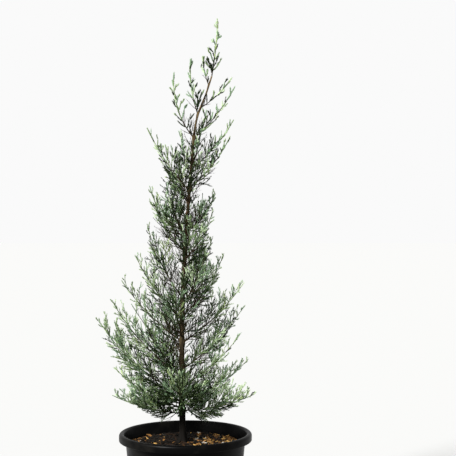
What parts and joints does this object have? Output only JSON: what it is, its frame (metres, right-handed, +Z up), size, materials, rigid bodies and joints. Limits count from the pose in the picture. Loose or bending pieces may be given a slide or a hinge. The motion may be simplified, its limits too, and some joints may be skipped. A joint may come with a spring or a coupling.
{
  "type": "potted arizona cypress",
  "caption": "Young upright conifer with feathery grey-green sprays on upswept limbs round a slender leaning trunk, growing in a black nursery pot of bark mix.",
  "frame": {"origin": "centre of the pot's flat underside, on the surface that the pot stands on", "axes": "+Z up along the pot's axis, +X to the right of the picture, +Y away from the viewer"},
  "size_m": [0.2261, 0.2029, 0.7464],
  "materials": {
    "pot_plastic": "satin black moulded plastic",
    "potting_mix": "damp bark and peat mix",
    "bark": "thin brown bark",
    "foliage": "waxy grey-green scale leaves"
  },
  "bodies": {
    "root": {"pot": "pot_plastic", "soil": "potting_mix", "trunk": "bark", "bough_back_01": "bark", "bough_front_01": "bark", "bough_front_02": "bark", "bough_left_03": "bark", "bough_left_04": "bark", "bough_left_06": "bark", "bough_left_08": "bark", "bough_right_04": "bark", "bough_right_05": "bark", "foliage_back_01": "foliage", "foliage_back_02": "foliage", "foliage_back_03": "foliage", "foliage_back_04": "foliage", "foliage_back_05": "foliage", "foliage_back_06": "foliage", "foliage_back_07": "foliage", "foliage_back_08": "foliage", "foliage_front_01": "foliage", "foliage_front_02": "foliage", "foliage_front_03": "foliage", "foliage_front_04": "foliage", "foliage_front_05": "foliage", "foliage_front_06": "foliage", "foliage_front_07": "foliage", "foliage_front_08": "foliage", "foliage_leader": "foliage", "foliage_left_01": "foliage", "foliage_left_02": "foliage", "foliage_left_03": "foliage", "foliage_left_04": "foliage", "foliage_left_05": "foliage", "foliage_left_06": "foliage", "foliage_left_07": "foliage", "foliage_left_08": "foliage", "foliage_left_09": "foliage", "foliage_left_10": "foliage", "foliage_left_11": "foliage", "foliage_left_12": "foliage", "foliage_left_13": "foliage", "foliage_left_14": "foliage", "foliage_left_15": "foliage", "foliage_left_16": "foliage", "foliage_right_01": "foliage", "foliage_right_02": "foliage", "foliage_right_03": "foliage", "foliage_right_04": "foliage", "foliage_right_05": "foliage", "foliage_right_06": "foliage", "foliage_right_07": "foliage", "foliage_right_08": "foliage", "foliage_right_09": "foliage", "foliage_right_10": "foliage", "foliage_right_11": "foliage", "foliage_right_12": "foliage", "foliage_right_13": "foliage"}
  },
  "joints": []
}
